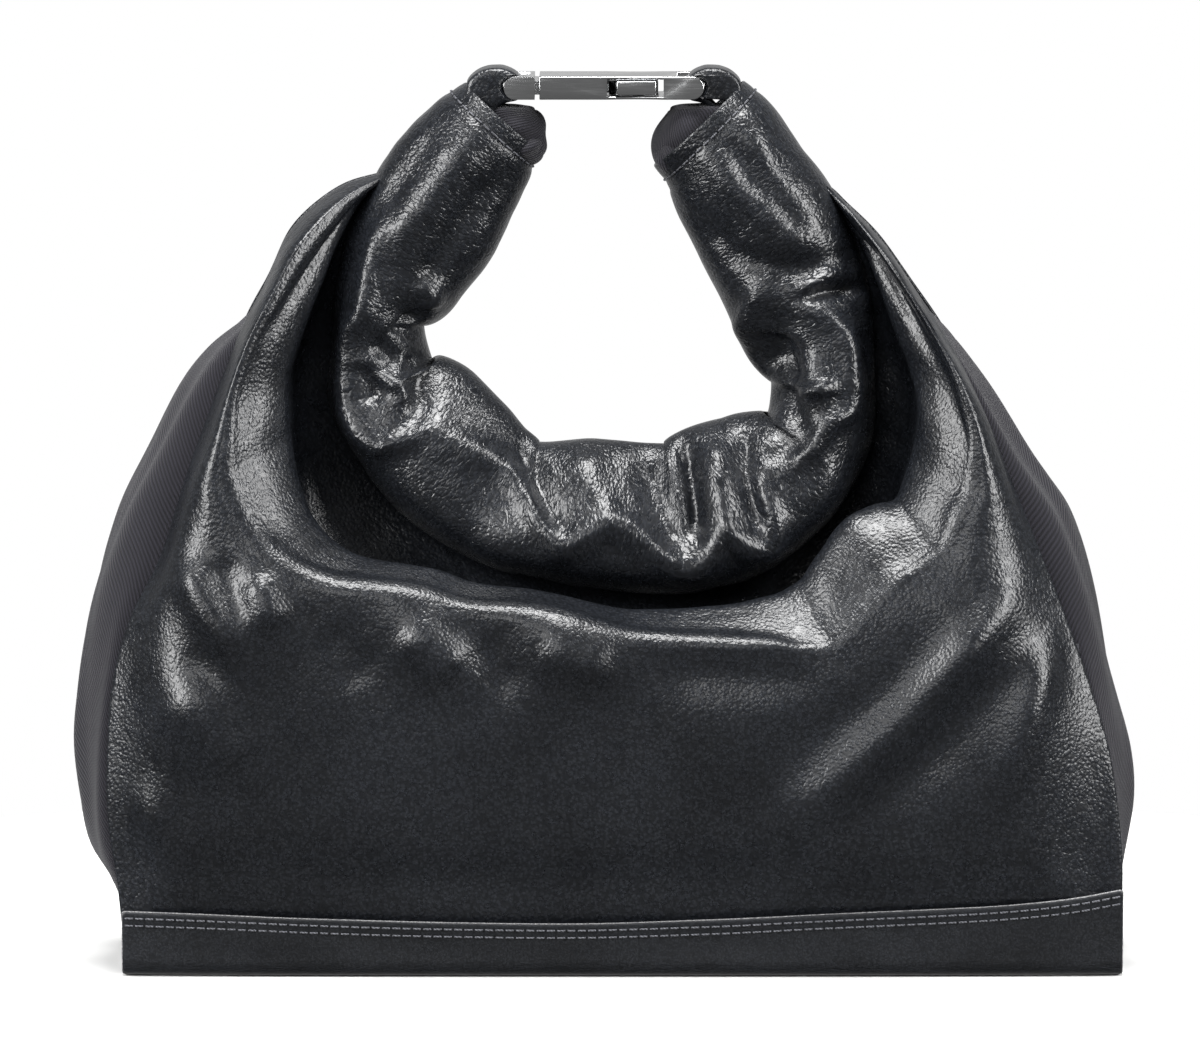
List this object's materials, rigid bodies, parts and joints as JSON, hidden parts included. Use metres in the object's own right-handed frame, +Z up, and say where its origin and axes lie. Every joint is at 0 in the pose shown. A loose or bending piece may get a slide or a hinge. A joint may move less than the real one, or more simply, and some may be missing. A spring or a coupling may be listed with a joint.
{
  "type": "roll-top handbag",
  "caption": "Soft leather roll-top handbag with twill side gussets; the rolled mouth's ends clip together with a metal side-release buckle and form the carrying loop.",
  "frame": {"origin": "on the surface the bag stands on, under the middle of its bounding box", "axes": "+Z up, +X to the right seen from the front, the front faces -Y"},
  "size_m": [0.402, 0.132, 0.3425],
  "materials": {
    "leather": "black pebbled full-grain leather, semi-gloss",
    "twill": "charcoal cotton twill, matt",
    "lining": "dark plain-weave lining, matt",
    "polished_metal": "polished nickel plate",
    "spring_steel": "drawn spring steel"
  },
  "bodies": {
    "bag": {"front_panel": "leather", "back_panel": "leather", "base_band": "leather", "left_gusset": "twill", "right_gusset": "twill", "front_lining": "lining", "back_lining": "lining", "inner_pocket": "lining", "mouth_roll": "leather"},
    "left_side": {"left_arm": "leather", "left_strap": "leather", "left_fold": "twill"},
    "right_side": {"right_arm": "leather", "right_strap": "leather", "right_fold": "twill"},
    "plug": {"plug_frame": "polished_metal", "front_lever_pin": "polished_metal", "back_lever_pin": "polished_metal", "lever_spring": "spring_steel"},
    "plug_front_lever": {"front_lever": "polished_metal"},
    "plug_back_lever": {"back_lever": "polished_metal"},
    "socket_half": {"socket": "polished_metal"}
  },
  "joints": [
    {"name": "left_arm_swing", "type": "hinge", "parent": "bag", "child": "left_side", "pos_m": [-0.0476, 0, 0.16], "axis": [0, -1, 0], "range_deg": [0, 10], "deforming": ["front_lever", "back_lever"]},
    {"name": "plug_turn", "type": "hinge", "parent": "left_side", "child": "plug", "pos_m": [-0.0356, 0, 0.335], "axis": [0, 1, 0], "range_deg": [0, 10]},
    {"name": "right_arm_swing", "type": "hinge", "parent": "bag", "child": "right_side", "pos_m": [0.0476, 0, 0.16], "axis": [0, 1, 0], "range_deg": [0, 10]},
    {"name": "socket_turn", "type": "hinge", "parent": "right_side", "child": "socket_half", "pos_m": [0.0356, 0, 0.335], "axis": [0, -1, 0], "range_deg": [0, 10]},
    {"name": "front_release", "type": "hinge", "parent": "plug", "child": "plug_front_lever", "pos_m": [-0.017, -0.0095, 0.335], "axis": [0, 0, 1], "range_deg": [0, 6.5], "stiffness_Nm_per_rad": 0.8, "springref_deg": -3.44, "deforming": ["lever_spring"]},
    {"name": "back_release", "type": "hinge", "parent": "plug", "child": "plug_back_lever", "pos_m": [-0.017, 0.0095, 0.335], "axis": [0, 0, -1], "range_deg": [0, 6.5], "stiffness_Nm_per_rad": 0.8, "springref_deg": -3.44}
  ],
  "couplings": [
    {"joint": "plug_turn", "follows": "left_arm_swing", "ratio": 1},
    {"joint": "socket_turn", "follows": "right_arm_swing", "ratio": 1}
  ]
}
